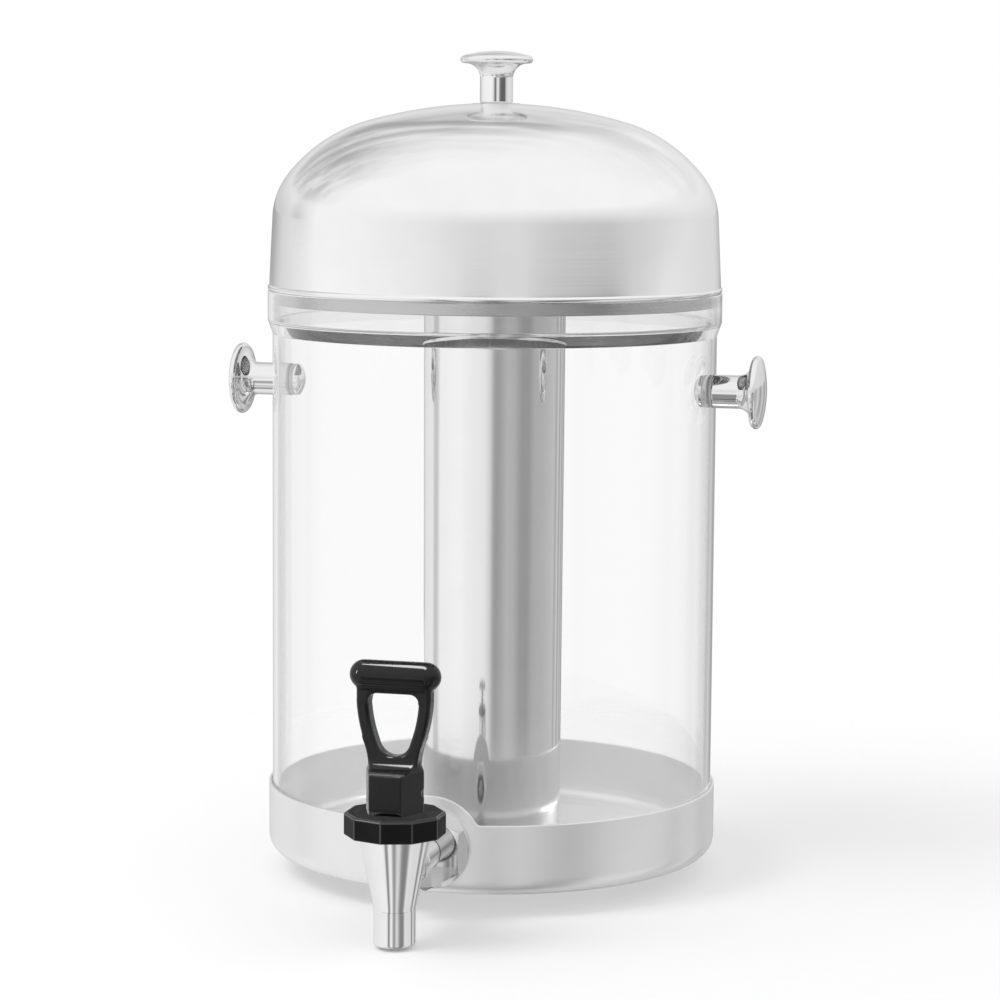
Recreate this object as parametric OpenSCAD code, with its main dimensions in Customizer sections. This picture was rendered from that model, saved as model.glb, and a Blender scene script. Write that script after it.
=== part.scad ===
// Round beverage dispenser. A clear container stands in a steel tray and holds an ice tube.
// A domed lid closes it, and a self-closing tap empties it: the lever lifts a sprung valve stem.
// Millimetres, +Z up. The origin is the centre of the tray's underside, and the tap points along -Y.

/* [Container] */
// Outer radius of the container's wall
container_r = 110.6; // [95:0.1:130]
// Thickness of the container's wall
container_wall = 3; // [2:0.1:4]
// Height of the container, from its underside to the top of its collar
container_h = 280.4; // [240:0.1:330]
// Thickness of the container's floor
container_floor = 5; // [4:0.1:7]
// Outer corner radius round the container's foot
container_corner_r = 8.5; // [7:0.1:11]
// How far the collar stands out from the wall
collar_flare = 2.4; // [1.5:0.1:4]
// Height of the collar's straight part
collar_h = 14.5; // [10:0.1:20]
// Height of the slope below the collar
collar_slope_h = 6.7; // [4:0.1:10]
// Radius of the boss on the floor that centres the ice tube
boss_r = 26; // [20:0.1:28]
// Height of that boss
boss_h = 2.6; // [1.5:0.1:3.4]

/* [Tray] */
// Height of the tray's rim
tray_h = 35; // [30:0.1:45]
// Thickness of the tray's sheet
tray_t = 1.2; // [0.8:0.1:1.8]
// Outer corner radius round the tray's foot
tray_corner_r = 8.6; // [6:0.1:9.5]
// Gap between the tray's wall and the container
tray_gap = 0.7; // [0.4:0.1:1.2]
// Radius of the raised ear round the tap hole
ear_r = 25; // [21:0.1:30]

/* [Ice tube] */
// Outer radius of the ice tube
tube_r = 34.5; // [31:0.1:42]
// Thickness of the tube's sheet
tube_t = 1; // [0.6:0.1:1.5]
// Depth of the tube's mouth below the container's top
tube_drop = 5.6; // [4:0.1:80]
// Radius of the rolled bead at the tube's mouth
tube_bead_r = 1.4; // [1:0.1:2]
// Height of the soft foot ring under the tube
foot_h = 4; // [3.5:0.1:6]
// Height of the pressed base's flange
tube_base_h = 7; // [4:0.1:12]

/* [Lid] */
// Thickness of the lid's sheet
lid_t = 1; // [0.6:0.1:1.6]
// Height of the skirt that hangs inside the collar
skirt_h = 6.2; // [4:0.1:9]
// Radius of the bead that rests on the collar
bead_r = 1.5; // [1.2:0.1:2.2]
// Height of the lid's wall between bead and shoulder
lid_wall_h = 33.5; // [20:0.1:45]
// Inward lean of the lid's wall, in degrees
lid_draft = 2.8; // [0.5:0.1:6]
// Radius of the lower shoulder
shoulder_r = 37; // [28:0.1:45]
// Steepness at which the lower shoulder ends, in degrees
shoulder_end = 38; // [30:0.5:45]
// Radius of the upper shoulder
crown_shoulder_r = 76; // [60:0.5:85]
// Steepness at which the crown begins, in degrees
crown_start = 74; // [65:0.5:78]

/* [Knobs] */
// Height of a knob
knob_h = 25.6; // [20:0.1:34]
// Radius of a knob's head
knob_head_r = 18; // [16:0.1:22]
// Radius of a knob's neck
knob_neck_r = 8.2; // [6:0.1:9.5]
// Radius of the flare between neck and head
knob_flare_r = 7.2; // [4:0.1:7.6]
// Radius of the head's rounded rim
knob_rim_r = 1.9; // [1.2:0.1:2.4]
// Height of the head's domed face above its rim
knob_dome_h = 4.2; // [3:0.1:5]
// Radius of the screws that hold the knobs
screw_r = 3; // [2:0.1:4]
// Length of a screw inside its knob
screw_thread_l = 10; // [6:0.1:12]
// Radius of a screw's head
screw_head_r = 7.9; // [6.5:0.1:9]
// Height of the straight edge round a screw's head
screw_edge_h = 1; // [0.6:0.1:1.6]
// Height of a screw's domed face above that edge
screw_dome_h = 3; // [2:0.1:4]
// Depth of the side handles' axis below the container's top
handle_drop = 47.1; // [46:0.1:160]
// Thickness of the soft washer outside the wall, at its middle
outer_seal_t = 0.8; // [0.6:0.1:1.5]
// Thickness of the soft washer inside the wall, at its middle
inner_seal_t = 2.7; // [1.8:0.1:4]

/* [Tap body] */
// Height of the shank's axis above the tray's underside
tap_z = 23.6; // [22:0.1:28]
// Distance from the tray's wall to the axis of the spout
tap_reach = 59; // [52:0.1:75]
// Radius of the threaded shank
shank_r = 8; // [7:0.1:9]
// Radius of the passage through the shank
shank_bore_r = 4.5; // [3:0.1:5.5]
// Radius of the plain boss between shank and tap body
shank_boss_r = 10; // [9.2:0.1:10.8]
// Length of that boss, from the spout's axis
shank_boss_l = 25; // [20:0.1:30]
// Radius of the saddle washer under the lock nut
saddle_r = 19.4; // [17:0.1:21]
// Thickness of the saddle washer at its middle
saddle_t = 2; // [1.5:0.1:3]
// Width of the lock nut across its flats
lock_nut_af = 33; // [26:0.1:35]
// Thickness of the lock nut
lock_nut_t = 9; // [6:0.1:12]
// Radius of the gasket inside the container
gasket_r = 11.6; // [10:0.1:11.8]
// Thickness of that gasket at its middle
gasket_t = 3; // [2:0.1:4]
// Width of the inner nut across its flats
inner_nut_af = 24; // [21:0.1:25]
// Thickness of the inner nut
inner_nut_t = 8; // [6:0.1:10]
// Radius at the top of the tap's cone
cone_top_r = 16.6; // [15.4:0.1:17.4]
// Height of the cone's top above the shank's axis
cone_rise = 19.4; // [17:0.1:22]
// Depth of the cone's lower end below the shank's axis
cone_drop = 15.2; // [14.5:0.1:18]
// Wall of the tap's cone
tap_wall = 2.4; // [1.8:0.1:2.6]
// Radius of the spout
spout_r = 9.6; // [9:0.1:10.5]
// Depth of the spout's end below the shank's axis
spout_drop = 32; // [26:0.1:40]
// Radius of the spout's bore
spout_bore_r = 7; // [5.5:0.1:7.6]
// Radius of the outlet in the valve seat
seat_hole_r = 4.5; // [3:0.1:5.2]
// Depth of the valve seat below the shank's axis
seat_drop = 11.6; // [10.5:0.1:12.2]

/* [Bonnet and valve] */
// Width of the ten-sided bonnet across its flats
bonnet_af = 44.4; // [40:0.1:50]
// Height of the bonnet
bonnet_h = 10.5; // [9.5:0.1:14]
// Thickness of the bonnet's top
bonnet_top_t = 3.3; // [2.5:0.1:4]
// Edge chamfer of the bonnet
bonnet_chamfer = 0.8; // [0.4:0.1:1.2]
// Thickness of the gasket under the bonnet
bonnet_gasket_t = 1.2; // [0.8:0.1:1.8]
// Radius of the threaded collar inside the bonnet
body_collar_r = 14.9; // [14.2:0.1:15.4]
// Radius of the valve chamber under the bonnet
chamber_r = 12.4; // [11:0.1:13]
// Radius of the valve stem
stem_r = 4; // [3.4:0.1:4.4]
// Radius of the stem's collar, which the spring presses on
stem_collar_r = 6.6; // [6.6:0.1:7.2]
// Thickness of that collar
stem_collar_t = 2; // [1.5:0.1:3]
// Radius of the soft cup on the stem
cup_r = 6.6; // [5.6:0.1:6.9]
// Height of the cup
cup_h = 10; // [8:0.1:12]
// Thickness of the cup's bottom
cup_bottom_t = 3; // [2:0.1:4]
// Mean radius of the spring
spring_r = 5.7; // [5.5:0.1:5.9]
// Radius of the spring's wire
wire_r = 0.6; // [0.4:0.05:0.7]
// Turns of the spring
spring_turns = 6; // [4:1:8]

/* [Lever] */
// Width of the lever's foot at its middle
foot_w = 27.5; // [25:0.1:31]
// Width of the foot's front face
foot_face_w = 15; // [12:0.1:18]
// Depth of the foot, front to back
foot_depth = 33; // [30:0.1:37]
// Height of the foot
lever_foot_h = 18.7; // [17:0.1:23]
// Chamfer under the foot's front and back
foot_chamfer = 2.5; // [1.5:0.1:3.5]
// Height of the pivot above the foot's underside
pivot_h = 9; // [8:0.1:10]
// Radius of the pivot pin
pin_r = 1.5; // [1.2:0.1:2]
// Height of the hollowed shoulder over the foot
shoulder_h = 6.6; // [5:0.1:6.6]
// Radius of the hollow in the shoulder's front and back
scoop_r = 14; // [13:0.5:24]
// Thickness of the lever's loop, front to back
loop_t = 9; // [7:0.1:11]
// Width of the loop under its bar
loop_top_w = 35.2; // [32:0.1:38]
// Width of the loop's waist
loop_waist_w = 23; // [20:0.1:24]
// Width of the loop's arms
arm_w = 5.6; // [5:0.1:6.5]
// Height of the finger opening's top above the foot
loop_top_h = 35.5; // [32:0.1:40]
// Share of the arms' S-curve that bows outward
bow_share = 0.65; // [0.5:0.01:0.75]
// Radius of the finger opening's lower end
opening_end_r = 8; // [6:0.1:8.4]
// Radius of the finger opening's upper corners
opening_corner_r = 4; // [2:0.1:5]
// Bevel along the loop's edges
loop_bevel = 1.2; // [0.6:0.1:1.8]
// Radius of the grip bar
bar_r = 6.75; // [5.5:0.05:8]
// Length of the grip bar, end to end
bar_l = 42.8; // [42:0.1:52]
// Forward tilt of the lever at full flow, in degrees
lever_tilt = 30; // [20:1:32]

/* [Fits] */
// Clearance of pieces that are screwed or pushed together
fit_gap = 0.1; // [0.05:0.01:0.2]
// Radial clearance of a pin or stem that runs in a hole
run_gap = 0.05; // [0.03:0.01:0.08]
// Clearance round a piece that lifts off or swings
lift_gap = 0.4; // [0.3:0.05:0.6]
// Clearance of a stud or shank in its hole
hole_gap = 0.3; // [0.2:0.05:0.5]

/* [Hidden] */
$fn = 96;
wall_fn = 360;
over = 1;
seat_gap = 0.02;
arc_steps = 24;
tray_r = container_r + tray_gap + tray_t;
container_in_r = container_r - container_wall;
container_top = tray_t + container_h;
floor_top = tray_t + container_floor;
collar_r = container_r + collar_flare;
collar_in_r = collar_r - container_wall;
ledge_z = container_top - collar_h;
ear_top = tap_z + ear_r;

tube_in_r = tube_r - tube_t;
tube_top = container_top - tube_drop;
tube_base_z = floor_top + foot_h;

skirt_r = collar_in_r - lift_gap;
lid_wall_r = collar_r - bead_r / 2;
lid_wall_z = container_top + 2 * bead_r;
wall_end = [lid_wall_r - lid_wall_h * tan(lid_draft), lid_wall_z + lid_wall_h];
shoulder_c = wall_end - shoulder_r * normal(lid_draft);
shoulder_stop = shoulder_c + shoulder_r * normal(shoulder_end);
upper_c = shoulder_stop - crown_shoulder_r * normal(shoulder_end);
upper_stop = upper_c + crown_shoulder_r * normal(crown_start);
crown_r = upper_stop.x / cos(crown_start);
crown_c = [0, upper_stop.y - crown_r * sin(crown_start)];
lid_top = crown_c.y + crown_r;
lid_washer_r = 9;
lid_washer_t = 1.2;
crown_in_r = crown_r - lid_t;
lid_washer_top = crown_c.y + sqrt(crown_in_r * crown_in_r - lid_washer_r * lid_washer_r);
lid_screw_z = lid_washer_top - lid_washer_t;
knob_pad_r = lid_washer_r + 3;

knob_rim_x = knob_head_r - knob_rim_r;
knob_rim_z = knob_h - knob_dome_h;
knob_under_z = knob_rim_z - knob_rim_r;
knob_face_r = (knob_rim_x * knob_rim_x + knob_dome_h * knob_dome_h - knob_rim_r * knob_rim_r)
            / (2 * (knob_dome_h - knob_rim_r));
knob_face_x = knob_rim_x * knob_face_r / (knob_face_r - knob_rim_r);
neck_chamfer = 0.8;
handle_z = container_top - handle_drop;
handle_foot_r = container_r + outer_seal_t;
screw_seat_r = container_in_r - inner_seal_t;
screw_end_gap = 2;

tap_r = tray_r + tap_reach;
saddle_face_r = tray_r + saddle_t;
gasket_face_r = container_in_r - gasket_t;
shank_end_l = 4;
shank_end_r = gasket_face_r - inner_nut_t - shank_end_l;
lock_nut_chamfer = 2.2;
inner_nut_chamfer = 1.6;
cone_top = tap_z + cone_rise;
cone_end = tap_z - cone_drop;
spout_end = tap_z - spout_drop;
spout_edge_r = 1.2;
seat_z = tap_z - seat_drop;
seat_t = 3;
bonnet_top = cone_top + bonnet_h;
bonnet_ceiling = bonnet_top - bonnet_top_t;
body_collar_top = bonnet_ceiling - bonnet_gasket_t;
bonnet_gasket_in_r = chamber_r - 1;
cup_z = seat_z + fit_gap;
cup_top = cup_z + cup_h;
stem_z = cup_z + cup_bottom_t;
spring_z = cup_top + stem_collar_t;

foot_z = bonnet_top + lift_gap;
foot_top = foot_z + lever_foot_h;
pivot_z = foot_z + pivot_h;
slot_r = stem_r + lift_gap;
pin_inset = 1.25;
pin_l = foot_w - 2 * pin_inset;
shoulder_foot = [foot_depth / 2, foot_top];
shoulder_run = [loop_t / 2 - loop_bevel, foot_top + shoulder_h] - shoulder_foot;
scoop_rim = 0.06;
scoop_depth = sqrt(scoop_r * scoop_r - shoulder_run * shoulder_run / 4);
scoop_c = shoulder_foot + (0.5 + scoop_rim) * shoulder_run
        + scoop_depth * [shoulder_run.y, -shoulder_run.x] / norm(shoulder_run);
opening_top = foot_top + loop_top_h;
bar_rise = 1.2;
bar_z = opening_top + bar_rise + bar_r;
loop_half = loop_top_w / 2;
waist_half = loop_waist_w / 2;
s_angle = 2 * atan((loop_half - waist_half) / loop_top_h);
s_radius = loop_top_h / sin(s_angle);
bow_r = bow_share * s_radius;
waist_r = s_radius - bow_r;
bow_x = bow_r - loop_half;
bow_end = [loop_half - bow_r * (1 - cos(s_angle)), opening_top - bow_r * sin(s_angle)];
arm_in_r = bow_r - arm_w;
opening_end_z = opening_top - sqrt(pow(arm_in_r - opening_end_r, 2) - bow_x * bow_x);
opening_angle = asin((opening_top - opening_end_z) / (arm_in_r - opening_end_r));
corner_angle = asin(opening_corner_r / (arm_in_r - opening_corner_r));
corner_x = (arm_in_r - opening_corner_r) * cos(corner_angle) - bow_x;
corner_z = opening_top - opening_corner_r;
bar_angle = asin((bar_z - opening_top) / bow_r);
bevel_runout = 3;
bevel_lap = 1;
bevel_start = -opening_angle - bevel_lap;
arc_lap = 0.05;

steel = "#c8cacc";
satin = "#b9bbbd";
black = "#141416";
silicone = "#dcdcd6";
clear = [0.88, 0.93, 0.96, 0.35];

// Unit vector in a section, at an angle above the horizontal
function normal(a) = [cos(a), sin(a)];

// Points along an arc of a section
function arc(c, r, a0, a1) =
    [for (i = [0 : arc_steps]) c + r * normal(a0 + (a1 - a0) * i / arc_steps)];

// The lid's outline from its bead to the axis, set in by a depth
function lid_outline(depth) = concat(
    [[lid_wall_r, lid_wall_z] - depth * normal(lid_draft)],
    arc(shoulder_c, shoulder_r - depth, lid_draft, shoulder_end),
    arc(upper_c, crown_shoulder_r - depth, shoulder_end, crown_start),
    arc(crown_c, crown_r - depth, crown_start, 90));

// A list in the other order
function flipped(list) = [for (i = [len(list) - 1 : -1 : 0]) list[i]];

// Places a child's +Z axis outward along the tap's shank, at a distance from the container's axis
module along_tap(r) {
    translate([0, -r, tap_z]) rotate([90, 0, 0]) children();
}

// Places a child's +Z axis outward along a side handle: side is 1 for +X and -1 for -X
module along_handle(side, r) {
    translate([side * r, 0, handle_z]) rotate([0, side * 90, 0]) children();
}

// Places a child on the spout's axis
module at_tap() {
    translate([0, -tap_r, 0]) children();
}

// A round bar from one height to another
module bar(r, z0, z1) {
    translate([0, 0, z0]) cylinder(r = r, h = z1 - z0);
}

// A ring from one height to another
module ring(r_in, r_out, z0, z1) {
    difference() {
        bar(r_out, z0, z1);
        bar(r_in, z0 - over, z1 + over);
    }
}

// Half section of an upright pan filled to its rim, with a rounded foot
module pan_section(r, h, corner) {
    square([r - corner, h]);
    translate([0, corner]) square([r, h - corner]);
    translate([r - corner, corner]) intersection() {
        circle(corner);
        translate([0, -corner]) square(corner);
    }
}

// A hexagon nut with chamfered corners, bored through
module hex_nut(af, t, bore_r, chamfer) {
    corner_r = af / 2 / cos(30);
    difference() {
        intersection() {
            rotate(30) cylinder(r = corner_r, h = t, $fn = 6);
            rotate_extrude() polygon([[0, 0], [corner_r, 0], [corner_r, t - chamfer * tan(30)],
                                      [corner_r - chamfer, t], [0, t]]);
        }
        bar(bore_r, -over, t + over);
    }
}

// A turned knob with a tapped hole in its foot: neck, flare and a lens-shaped head
module knob() {
    difference() {
        rotate_extrude() {
            polygon([[0, 0], [knob_neck_r - neck_chamfer, 0], [knob_neck_r, neck_chamfer],
                     [knob_neck_r, knob_rim_z], [0, knob_rim_z]]);
            difference() {
                translate([0, knob_under_z - knob_flare_r])
                    square([knob_neck_r + knob_flare_r, knob_flare_r]);
                translate([knob_neck_r + knob_flare_r, knob_under_z - knob_flare_r]) circle(knob_flare_r);
            }
            translate([0, knob_under_z]) square([knob_rim_x, knob_rim_r]);
            translate([knob_rim_x, knob_rim_z]) circle(knob_rim_r);
            intersection() {
                translate([0, knob_h - knob_face_r]) circle(knob_face_r);
                translate([0, knob_rim_z]) square([knob_face_x, knob_dome_h]);
            }
        }
        bar(screw_r + fit_gap, -over, screw_thread_l + screw_end_gap);
    }
}

// A domed screw: its shank rises from the head's seat through a grip, then into a knob
module screw(grip) {
    dome_r = (screw_head_r * screw_head_r + screw_dome_h * screw_dome_h) / (2 * screw_dome_h);
    face_z = -screw_edge_h - screw_dome_h;
    rotate_extrude() {
        translate([0, -screw_edge_h]) square([screw_head_r, screw_edge_h]);
        intersection() {
            translate([0, face_z + dome_r]) circle(dome_r);
            translate([0, face_z]) square([screw_head_r, screw_dome_h]);
        }
    }
    bar(screw_r, -screw_edge_h, grip + screw_thread_l);
}

// Pan of sheet steel whose wall rises in a round ear where the tap goes through
module base_tray() {
    color(satin) difference() {
        rotate_extrude() difference() {
            pan_section(tray_r, ear_top, tray_corner_r);
            translate([0, tray_t]) pan_section(tray_r - tray_t, ear_top, tray_corner_r - tray_t);
        }
        difference() {
            bar(tray_r + over, tray_h, ear_top + over);
            along_tap(container_r / 2) cylinder(r = ear_r, h = container_r);
        }
        along_tap(container_r) cylinder(r = shank_r + hole_gap, h = tap_reach);
    }
}

// Clear tank with a floor, a flared collar and a boss that centres the ice tube
module container() {
    slope_z = ledge_z - collar_slope_h;
    color(clear) difference() {
        translate([0, 0, tray_t]) rotate_extrude() difference() {
            union() {
                pan_section(container_r, container_h, container_corner_r);
                polygon([[container_in_r, slope_z - tray_t], [container_r, slope_z - tray_t],
                         [collar_r, ledge_z - tray_t], [collar_r, container_h],
                         [container_in_r, container_h]]);
            }
            difference() {
                translate([0, container_floor])
                    pan_section(container_in_r, container_h, container_corner_r - container_wall);
                square([boss_r, container_floor + boss_h]);
            }
            translate([0, ledge_z - tray_t]) square([collar_in_r, collar_h + over]);
        }
        along_tap(container_r / 2) cylinder(r = shank_r + hole_gap, h = container_r);
        for (side = [-1, 1])
            along_handle(side, container_r / 2) cylinder(r = screw_r + hole_gap, h = container_r);
    }
}

// One side handle
module side_handle(side) {
    color(steel) along_handle(side, handle_foot_r) knob();
}

module left_handle() {
    side_handle(-1);
}

module right_handle() {
    side_handle(1);
}

// Soft washers on both faces of the wall, curved to it on one side and flat on the other
module handle_seals() {
    color(silicone) for (side = [-1, 1]) {
        difference() {
            along_handle(side, container_r - over)
                ring(screw_r + hole_gap, knob_neck_r, 0, over + outer_seal_t);
            bar(container_r + seat_gap, 0, container_top, $fn = wall_fn);
        }
        intersection() {
            along_handle(side, screw_seat_r)
                ring(screw_r + hole_gap, screw_head_r, 0, inner_seal_t + over);
            bar(container_in_r - seat_gap, 0, container_top, $fn = wall_fn);
        }
    }
}

// Domed screws that hold the side handles from inside
module handle_screws() {
    color(steel) for (side = [-1, 1])
        along_handle(side, screw_seat_r) screw(handle_foot_r - screw_seat_r);
}

// Chromed cone and spout with the shank that goes through the walls
module tap_body() {
    seat_in_r = spout_r + (cone_top_r - spout_r) * (seat_z - cone_end) / (cone_top - cone_end) - tap_wall;
    color(steel) difference() {
        union() {
            at_tap() rotate_extrude() {
                polygon([[0, spout_end + spout_edge_r], [spout_r, spout_end + spout_edge_r],
                         [spout_r, cone_end], [cone_top_r, cone_top], [body_collar_r, cone_top],
                         [body_collar_r, body_collar_top], [0, body_collar_top]]);
                translate([0, spout_end]) square([spout_r - spout_edge_r, 2 * spout_edge_r]);
                translate([spout_r - spout_edge_r, spout_end + spout_edge_r]) circle(spout_edge_r);
            }
            along_tap(shank_end_r) cylinder(r = shank_r, h = tap_r - shank_end_r);
            along_tap(tap_r - shank_boss_l) cylinder(r = shank_boss_r, h = shank_boss_l);
        }
        at_tap() {
            bar(spout_bore_r, spout_end - over, seat_z - seat_t);
            bar(seat_hole_r, spout_end, seat_z + over);
            translate([0, 0, seat_z]) cylinder(r1 = seat_in_r, r2 = chamber_r, h = cone_top - seat_z);
            bar(chamber_r, cone_top, body_collar_top + over);
        }
        along_tap(shank_end_r - over) cylinder(r = shank_bore_r, h = tap_r - shank_end_r + over);
    }
}

// Washer that is round to the tray on one side and flat to the nut on the other
module tap_saddle_washer() {
    color(steel) difference() {
        along_tap(tray_r - saddle_t) ring(shank_r + fit_gap, saddle_r, 0, 2 * saddle_t);
        bar(tray_r + seat_gap, -ear_top, 2 * ear_top, $fn = wall_fn);
    }
}

// Nut that clamps the tap from outside
module tap_lock_nut() {
    color(steel) along_tap(saddle_face_r)
        hex_nut(lock_nut_af, lock_nut_t, shank_r + fit_gap, lock_nut_chamfer);
}

// Seal inside the container, round to the wall on one side and flat to the nut on the other
module tap_inner_gasket() {
    color(silicone) intersection() {
        along_tap(gasket_face_r) ring(shank_r + fit_gap, gasket_r, 0, 2 * gasket_t);
        bar(container_in_r - seat_gap, 0, container_top, $fn = wall_fn);
    }
}

// Nut that clamps the tap from inside
module tap_inner_nut() {
    color(steel) along_tap(gasket_face_r) mirror([0, 0, 1]) rotate(30)
        hex_nut(inner_nut_af, inner_nut_t, shank_r + fit_gap, inner_nut_chamfer);
}

// Ten-sided cap that closes the tap body and guides the stem
module tap_bonnet() {
    corner_r = bonnet_af / 2 / cos(18);
    color(black) at_tap() difference() {
        rotate(-90) {
            translate([0, 0, cone_top]) cylinder(r = corner_r, h = bonnet_h - bonnet_chamfer, $fn = 10);
            translate([0, 0, bonnet_top - bonnet_chamfer])
                cylinder(r1 = corner_r, r2 = corner_r - bonnet_chamfer, h = bonnet_chamfer, $fn = 10);
        }
        bar(body_collar_r + fit_gap, cone_top - over, bonnet_ceiling);
        bar(stem_r + run_gap, cone_top, bonnet_top + over);
    }
}

// Seal between tap body and bonnet
module bonnet_gasket() {
    color(silicone) at_tap() ring(bonnet_gasket_in_r, body_collar_r, body_collar_top, bonnet_ceiling);
}

// Coil spring between the bonnet and the stem's collar
module tap_spring() {
    rings_per_turn = 12;
    sides = 6;
    rings = spring_turns * rings_per_turn;
    z0 = spring_z + wire_r + fit_gap;
    rise = bonnet_ceiling - wire_r - fit_gap - z0;
    points = [for (i = [0 : rings]) for (k = [0 : sides - 1])
        let (turn = 360 * i / rings_per_turn, r = spring_r + wire_r * cos(360 * k / sides))
        [r * cos(turn), r * sin(turn), z0 + rise * i / rings + wire_r * sin(360 * k / sides)]];
    walls = [for (i = [0 : rings - 1]) for (k = [0 : sides - 1])
        let (a = i * sides + k, b = i * sides + (k + 1) % sides)
        each [[a, a + sides, b], [b, a + sides, b + sides]]];
    ends = [for (k = [1 : sides - 2]) each [[0, k, k + 1],
        [rings * sides, rings * sides + k + 1, rings * sides + k]]];
    color(steel) at_tap() polyhedron(points, concat(walls, ends));
}

// Valve rod with a collar for the spring and a round eye for the pin
module tap_stem() {
    color(steel) at_tap() difference() {
        union() {
            bar(stem_r, stem_z, pivot_z);
            bar(stem_collar_r, cup_top, spring_z);
            intersection() {
                bar(stem_r, pivot_z - stem_r, pivot_z + stem_r);
                translate([-stem_r, 0, pivot_z]) rotate([0, 90, 0]) cylinder(r = stem_r, h = 2 * stem_r);
            }
        }
        translate([-stem_r - over, 0, pivot_z]) rotate([0, 90, 0])
            cylinder(r = pin_r + seat_gap, h = 2 * (stem_r + over));
    }
}

// Soft cup on the stem's lower end that closes the outlet
module tap_seat_cup() {
    color(silicone) at_tap() difference() {
        bar(cup_r, cup_z, cup_top);
        bar(stem_r + seat_gap, stem_z, cup_top + over);
    }
}

// Pin that joins lever and stem
module tap_pivot_pin() {
    color(steel) at_tap() translate([-pin_l / 2, 0, pivot_z]) rotate([0, 90, 0])
        cylinder(r = pin_r, h = pin_l);
}

// Outline of the lever's foot, seen from above
module foot_outline() {
    face = foot_face_w / 2;
    depth = foot_depth / 2;
    polygon([[-face, -depth], [face, -depth], [foot_w / 2, 0],
             [face, depth], [-face, depth], [-foot_w / 2, 0]]);
}

// Front view of the finger opening, with X across and Y up
module opening_outline() {
    tangent_z = opening_top - arm_in_r * sin(opening_angle);
    far = 2 * opening_corner_r;
    difference() {
        intersection() {
            translate([-bow_x, opening_top]) circle(arm_in_r);
            translate([bow_x, opening_top]) circle(arm_in_r);
            translate([-loop_half, tangent_z]) square([loop_top_w, opening_top - tangent_z]);
        }
        for (side = [0, 1]) mirror([side, 0]) translate([corner_x, corner_z]) difference() {
            polygon([[0, 0], far * normal(-corner_angle), [far, far], [0, far]]);
            circle(opening_corner_r + arc_lap);
        }
    }
    translate([0, opening_end_z]) circle(opening_end_r + arc_lap);
}

// Front view of the lever's loop, with S-shaped arms
module loop_outline() {
    difference() {
        union() {
            intersection() {
                translate([-bow_x, opening_top]) circle(bow_r);
                translate([bow_x, opening_top]) circle(bow_r);
                translate([-loop_half, foot_top]) square([loop_top_w, bar_z - foot_top]);
            }
            difference() {
                translate([-bow_end.x, foot_top]) square([2 * bow_end.x, bow_end.y - foot_top]);
                for (side = [-1, 1]) translate([side * (waist_half + waist_r), foot_top])
                    circle(waist_r + arc_lap);
            }
        }
        opening_outline();
    }
}

// Cutter that bevels an arc-shaped edge on both faces: way is 1 for an outer edge and -1 for a hole's
module edge_bevel(c, r, a0, a1, way) {
    top = loop_t / 2;
    reach = loop_bevel + 1;
    for (face = [0, 1]) mirror([0, 0, face]) translate(c) rotate(a0) rotate_extrude(angle = a1 - a0)
        polygon([[r - way * (loop_bevel + over), top + over], [r + way * reach, top + over],
                 [r + way * reach, top - loop_bevel - reach]]);
}

// Lever: foot over the bonnet, hollowed shoulder, finger loop and grip bar
module tap_handle() {
    depth = foot_depth / 2;
    swing = [-slot_r * cos(lever_tilt), slot_r * sin(lever_tilt)];
    fall = (pivot_h + over + swing.y) / cos(lever_tilt);
    color(black) at_tap() difference() {
        union() {
            intersection() {
                translate([0, 0, foot_z]) linear_extrude(lever_foot_h) foot_outline();
                rotate([90, 0, 90]) linear_extrude(2 * foot_w, center = true)
                    polygon([[foot_chamfer - depth, foot_z], [depth - foot_chamfer, foot_z],
                             [depth, foot_z + foot_chamfer], [depth, foot_top], [-depth, foot_top],
                             [-depth, foot_z + foot_chamfer]]);
            }
            difference() {
                hull() {
                    translate([0, 0, foot_top - over]) linear_extrude(over) foot_outline();
                    translate([loop_bevel - waist_half, loop_bevel - loop_t / 2, foot_top])
                        cube([loop_waist_w - 2 * loop_bevel, loop_t - 2 * loop_bevel, shoulder_h]);
                }
                for (side = [-1, 1]) translate([-foot_w, side * scoop_c.x, scoop_c.y]) rotate([0, 90, 0])
                    cylinder(r = scoop_r, h = 2 * foot_w);
            }
            rotate([90, 0, 0]) difference() {
                linear_extrude(loop_t, center = true) loop_outline();
                for (side = [0, 1]) mirror([side, 0, 0]) {
                    edge_bevel([-bow_x, opening_top], bow_r, bevel_runout - s_angle, bar_angle, 1);
                    edge_bevel([-bow_x, opening_top], arm_in_r, bevel_start, -corner_angle, -1);
                }
                edge_bevel([0, opening_end_z], opening_end_r, 180 + opening_angle, 360 - opening_angle, -1);
            }
            translate([-bar_l / 2 + bar_r, 0, bar_z]) rotate([0, 90, 0])
                cylinder(r = bar_r, h = bar_l - 2 * bar_r);
            for (side = [-1, 1]) translate([side * (bar_l / 2 - bar_r), 0, bar_z]) sphere(bar_r);
        }
        translate([0, 0, pivot_z]) rotate([90, 0, 90]) linear_extrude(2 * slot_r, center = true) {
            circle(slot_r);
            polygon([[slot_r, 0], [slot_r, -pivot_h - over],
                     [swing.x - fall * sin(lever_tilt), -pivot_h - over], swing]);
        }
        translate([-foot_w, 0, pivot_z]) rotate([0, 90, 0]) cylinder(r = pin_r + run_gap, h = 2 * foot_w);
    }
}

// Straight tube with a rolled mouth
module ice_tube() {
    color(steel) rotate_extrude() {
        translate([tube_in_r, floor_top + lift_gap])
            square([tube_t, tube_top - tube_bead_r - floor_top - lift_gap]);
        translate([tube_in_r + tube_bead_r, tube_top - tube_bead_r]) circle(tube_bead_r);
    }
}

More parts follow.
